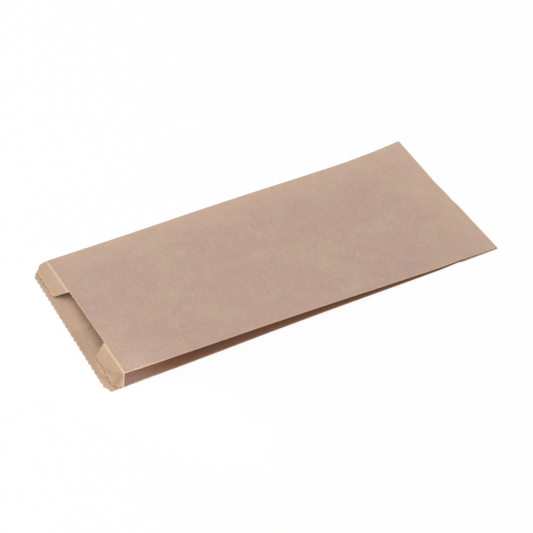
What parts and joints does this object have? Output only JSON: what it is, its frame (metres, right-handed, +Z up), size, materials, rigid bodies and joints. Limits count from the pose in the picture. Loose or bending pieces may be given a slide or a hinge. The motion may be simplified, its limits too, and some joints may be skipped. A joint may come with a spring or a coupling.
{
  "type": "paper lunch bag",
  "caption": "Flat gusseted bag of brown kraft paper with a toothed, notched mouth and a turned-under glued bottom, lying on its back.",
  "frame": {"origin": "middle of the bag's length and width, on the surface that it lies on", "axes": "+X from the mouth to the bottom, +Y across the width to the flatter side, +Z up through the panels"},
  "size_m": [0.34, 0.15, 0.0144],
  "materials": {
    "kraft_paper": "unbleached brown kraft, matt, faintly mottled, with fine fibres"
  },
  "bodies": {
    "root": {"paper_bag": "kraft_paper"}
  },
  "joints": []
}
